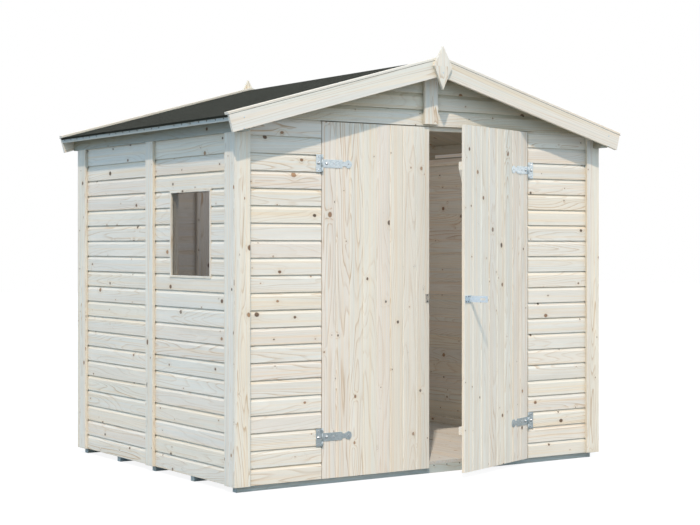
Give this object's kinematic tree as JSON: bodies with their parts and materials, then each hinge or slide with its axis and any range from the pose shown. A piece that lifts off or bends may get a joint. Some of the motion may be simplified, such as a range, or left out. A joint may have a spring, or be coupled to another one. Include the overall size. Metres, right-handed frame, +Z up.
{
  "type": "wooden garden shed",
  "caption": "Gabled garden shed of boarded timber panels with a double door, a side window and a felted ridge roof.",
  "frame": {"origin": "on the ground at the centre of the floor plan, on the underside of the middle bearer", "axes": "+X to the right of somebody facing the doors, +Y to the rear, +Z up"},
  "size_m": [2.6114, 2.2916, 2.2985],
  "materials": {
    "planed_wood": "bare planed softwood",
    "frame_wood": "bare sawn softwood",
    "treated_wood": "pressure-treated softwood",
    "roof_felt": "fine mineral grain",
    "pane": "clear",
    "zinc_steel": "galvanised"
  },
  "bodies": {
    "shed": {"bearers": "treated_wood", "floor_boards": "planed_wood", "front_wall_left": "planed_wood", "front_wall_right": "planed_wood", "front_gable": "planed_wood", "rear_wall": "planed_wood", "rear_gable": "planed_wood", "left_wall_front": "planed_wood", "left_wall_rear": "planed_wood", "right_wall": "planed_wood", "front_rear_studs": "frame_wood", "side_studs": "frame_wood", "front_rear_rails": "frame_wood", "side_rails": "frame_wood", "wall_plates": "frame_wood", "ridge_beam": "frame_wood", "roof_boards_left": "planed_wood", "roof_boards_right": "planed_wood", "roof_felt_left": "roof_felt", "roof_felt_right": "roof_felt", "eave_fascias": "planed_wood", "left_bargeboards": "planed_wood", "right_bargeboards": "planed_wood", "left_cap_strips": "planed_wood", "right_cap_strips": "planed_wood", "finials": "planed_wood", "end_corner_boards": "planed_wood", "side_corner_boards": "planed_wood", "joint_battens": "planed_wood", "king_posts": "planed_wood", "window_lining": "planed_wood", "window_pane": "pane", "door_stops": "planed_wood", "hinge_plates": "zinc_steel"},
    "left_door": {"left_door_boards": "planed_wood", "left_door_ledges": "planed_wood", "left_door_brace": "planed_wood", "left_hinge_straps": "zinc_steel", "hasp_staple": "zinc_steel"},
    "right_door": {"right_door_boards": "planed_wood", "right_door_ledges": "planed_wood", "right_door_brace": "planed_wood", "right_hinge_straps": "zinc_steel", "hasp_plate": "zinc_steel"},
    "hasp_leaf": {"hasp_leaf": "zinc_steel"}
  },
  "joints": [
    {"name": "left_door_hinge", "type": "hinge", "parent": "shed", "child": "left_door", "pos_m": [-0.693, -0.934, 0.952], "axis": [0, 0, -1], "range_deg": [0, 150]},
    {"name": "right_door_hinge", "type": "hinge", "parent": "shed", "child": "right_door", "pos_m": [0.693, -0.934, 0.952], "axis": [0, 0, 1], "range_deg": [-21, 129]},
    {"name": "hasp_hinge", "type": "hinge", "parent": "right_door", "child": "hasp_leaf", "pos_m": [0.09917, -1.16034, 0.95], "axis": [0, 0, 1], "range_deg": [-90, 80]}
  ]
}
